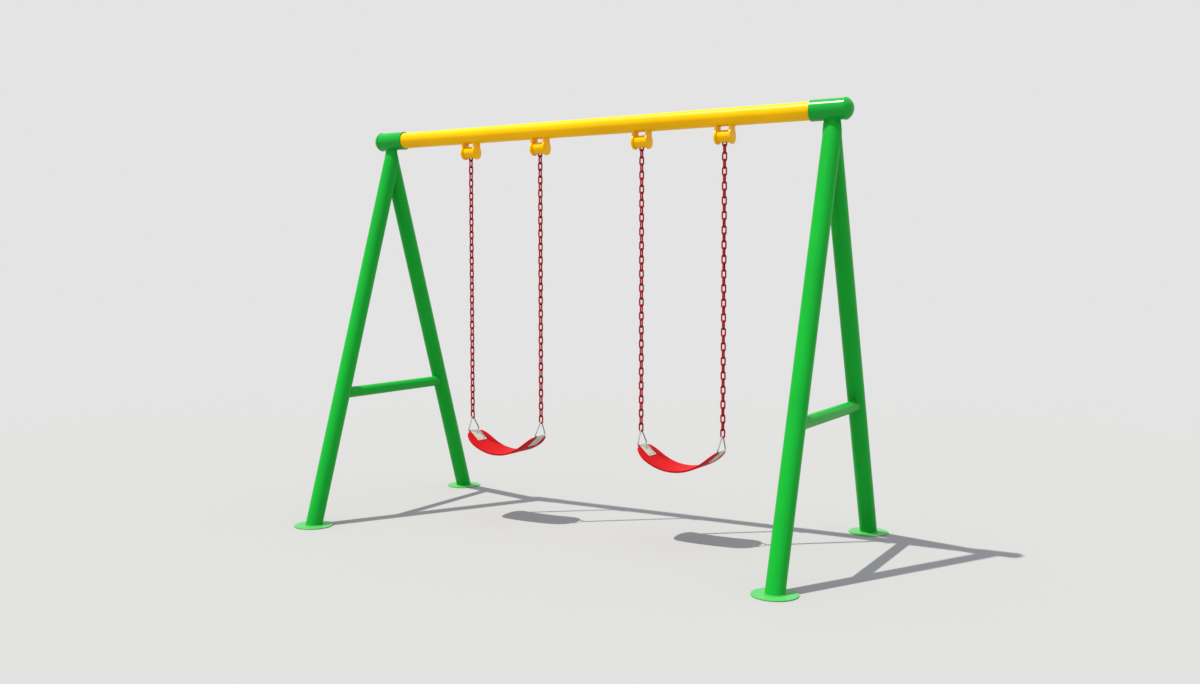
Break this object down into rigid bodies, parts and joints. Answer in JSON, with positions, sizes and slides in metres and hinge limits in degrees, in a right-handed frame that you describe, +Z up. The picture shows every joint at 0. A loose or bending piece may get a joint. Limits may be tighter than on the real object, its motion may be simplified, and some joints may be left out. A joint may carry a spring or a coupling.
{
  "type": "swing set",
  "caption": "Playground swing set: tube A-frames, round top beam, bearing hangers, welded chains and rubber belt seats.",
  "frame": {"origin": "on the ground, midway between the A-frames and under the beam", "axes": "+X along the beam, +Y from the front legs to the back legs, +Z up"},
  "size_m": [2.866, 1.56, 2.189],
  "materials": {
    "yellow_powder_coat": "gloss polyester powder coat on steel",
    "green_powder_coat": "gloss polyester powder coat on steel",
    "green_cap": "gloss powder coat on a pressed steel cap",
    "red_chain_coat": "gloss dip coat on steel chain",
    "red_belt_rubber": "smooth moulded rubber",
    "plate_steel": "rolled stainless sheet",
    "ring_steel": "bent and welded stainless wire",
    "rivet_steel": "headed stainless rivets",
    "bearing_steel": "ground bearing steel",
    "zinc_steel": "zinc plated",
    "spring_steel": "rolled spring strip, hidden in the belt"
  },
  "bodies": {
    "frame": {"beam_tube": "yellow_powder_coat", "sleeve_left": "green_powder_coat", "sleeve_right": "green_powder_coat", "sleeve_set_screws": "zinc_steel", "end_cap_left": "green_cap", "end_cap_right": "green_cap", "leg_left_front": "green_powder_coat", "flange_left_front": "green_powder_coat", "leg_left_back": "green_powder_coat", "flange_left_back": "green_powder_coat", "brace_left": "green_powder_coat", "leg_right_front": "green_powder_coat", "flange_right_front": "green_powder_coat", "leg_right_back": "green_powder_coat", "flange_right_back": "green_powder_coat", "brace_right": "green_powder_coat", "hanger_1_cheeks": "yellow_powder_coat", "hanger_1_pin": "yellow_powder_coat", "hanger_2_cheeks": "yellow_powder_coat", "hanger_2_pin": "yellow_powder_coat", "hanger_3_cheeks": "yellow_powder_coat", "hanger_3_pin": "yellow_powder_coat", "hanger_4_cheeks": "yellow_powder_coat", "hanger_4_pin": "yellow_powder_coat", "bearing_inner_rings": "bearing_steel"},
    "swivel_1": {"hanger_1_barrel": "yellow_powder_coat", "hanger_1_bearings": "bearing_steel", "hanger_1_eye": "red_chain_coat"},
    "chain_1_links": {"chain_1": "red_chain_coat"},
    "end_link_1": {"last_link_1": "red_chain_coat"},
    "swivel_2": {"hanger_2_barrel": "yellow_powder_coat", "hanger_2_bearings": "bearing_steel", "hanger_2_eye": "red_chain_coat"},
    "chain_2_links": {"chain_2": "red_chain_coat"},
    "end_link_2": {"last_link_2": "red_chain_coat"},
    "swivel_3": {"hanger_3_barrel": "yellow_powder_coat", "hanger_3_bearings": "bearing_steel", "hanger_3_eye": "red_chain_coat"},
    "chain_3_links": {"chain_3": "red_chain_coat"},
    "end_link_3": {"last_link_3": "red_chain_coat"},
    "swivel_4": {"hanger_4_barrel": "yellow_powder_coat", "hanger_4_bearings": "bearing_steel", "hanger_4_eye": "red_chain_coat"},
    "chain_4_links": {"chain_4": "red_chain_coat"},
    "end_link_4": {"last_link_4": "red_chain_coat"},
    "seat_left": {"belt_left": "red_belt_rubber", "belt_insert_left": "spring_steel", "belt_rivets_left": "rivet_steel", "seat_plate_1": "plate_steel", "seat_plate_2": "plate_steel", "ring_1": "ring_steel", "ring_2": "ring_steel"},
    "seat_right": {"belt_right": "red_belt_rubber", "belt_insert_right": "spring_steel", "belt_rivets_right": "rivet_steel", "seat_plate_3": "plate_steel", "seat_plate_4": "plate_steel", "ring_3": "ring_steel", "ring_4": "ring_steel"}
  },
  "joints": [
    {"name": "left_swing", "type": "hinge", "parent": "frame", "child": "swivel_1", "pos_m": [-0.7561, 0, 2.043], "axis": [1, 0, 0], "range_deg": [-60, 60]},
    {"name": "left_swing_far", "type": "hinge", "parent": "frame", "child": "swivel_2", "pos_m": [-0.2951, 0, 2.043], "axis": [1, 0, 0], "range_deg": [-60, 60]},
    {"name": "left_sway", "type": "hinge", "parent": "swivel_1", "child": "chain_1_links", "pos_m": [-0.7561, 0, 2.0031], "axis": [0, 1, 0], "range_deg": [-10, 10]},
    {"name": "left_sway_far", "type": "hinge", "parent": "swivel_2", "child": "chain_2_links", "pos_m": [-0.2951, 0, 2.0031], "axis": [0, 1, 0], "range_deg": [-10, 10]},
    {"name": "left_level", "type": "hinge", "parent": "chain_1_links", "child": "end_link_1", "pos_m": [-0.7561, 0, 0.5871], "axis": [0, 1, 0], "range_deg": [-10, 10]},
    {"name": "left_level_far", "type": "hinge", "parent": "chain_2_links", "child": "end_link_2", "pos_m": [-0.2951, 0, 0.5871], "axis": [0, 1, 0], "range_deg": [-10, 10]},
    {"name": "left_seat_tip", "type": "hinge", "parent": "end_link_1", "child": "seat_left", "pos_m": [-0.7561, 0, 0.551], "axis": [1, 0, 0], "range_deg": [-30, 30]},
    {"name": "right_swing", "type": "hinge", "parent": "frame", "child": "swivel_3", "pos_m": [0.3239, 0, 2.043], "axis": [1, 0, 0], "range_deg": [-60, 60]},
    {"name": "right_swing_far", "type": "hinge", "parent": "frame", "child": "swivel_4", "pos_m": [0.7849, 0, 2.043], "axis": [1, 0, 0], "range_deg": [-60, 60]},
    {"name": "right_sway", "type": "hinge", "parent": "swivel_3", "child": "chain_3_links", "pos_m": [0.3239, 0, 2.0031], "axis": [0, 1, 0], "range_deg": [-10, 10]},
    {"name": "right_sway_far", "type": "hinge", "parent": "swivel_4", "child": "chain_4_links", "pos_m": [0.7849, 0, 2.0031], "axis": [0, 1, 0], "range_deg": [-10, 10]},
    {"name": "right_level", "type": "hinge", "parent": "chain_3_links", "child": "end_link_3", "pos_m": [0.3239, 0, 0.5871], "axis": [0, 1, 0], "range_deg": [-10, 10]},
    {"name": "right_level_far", "type": "hinge", "parent": "chain_4_links", "child": "end_link_4", "pos_m": [0.7849, 0, 0.5871], "axis": [0, 1, 0], "range_deg": [-10, 10]},
    {"name": "right_seat_tip", "type": "hinge", "parent": "end_link_3", "child": "seat_right", "pos_m": [0.3239, 0, 0.551], "axis": [1, 0, 0], "range_deg": [-30, 30]}
  ],
  "couplings": [
    {"joint": "left_swing_far", "follows": "left_swing", "ratio": 1},
    {"joint": "left_sway_far", "follows": "left_sway", "ratio": 1},
    {"joint": "left_level", "follows": "left_sway", "ratio": -1},
    {"joint": "left_level_far", "follows": "left_sway", "ratio": -1},
    {"joint": "right_swing_far", "follows": "right_swing", "ratio": 1},
    {"joint": "right_sway_far", "follows": "right_sway", "ratio": 1},
    {"joint": "right_level", "follows": "right_sway", "ratio": -1},
    {"joint": "right_level_far", "follows": "right_sway", "ratio": -1}
  ]
}
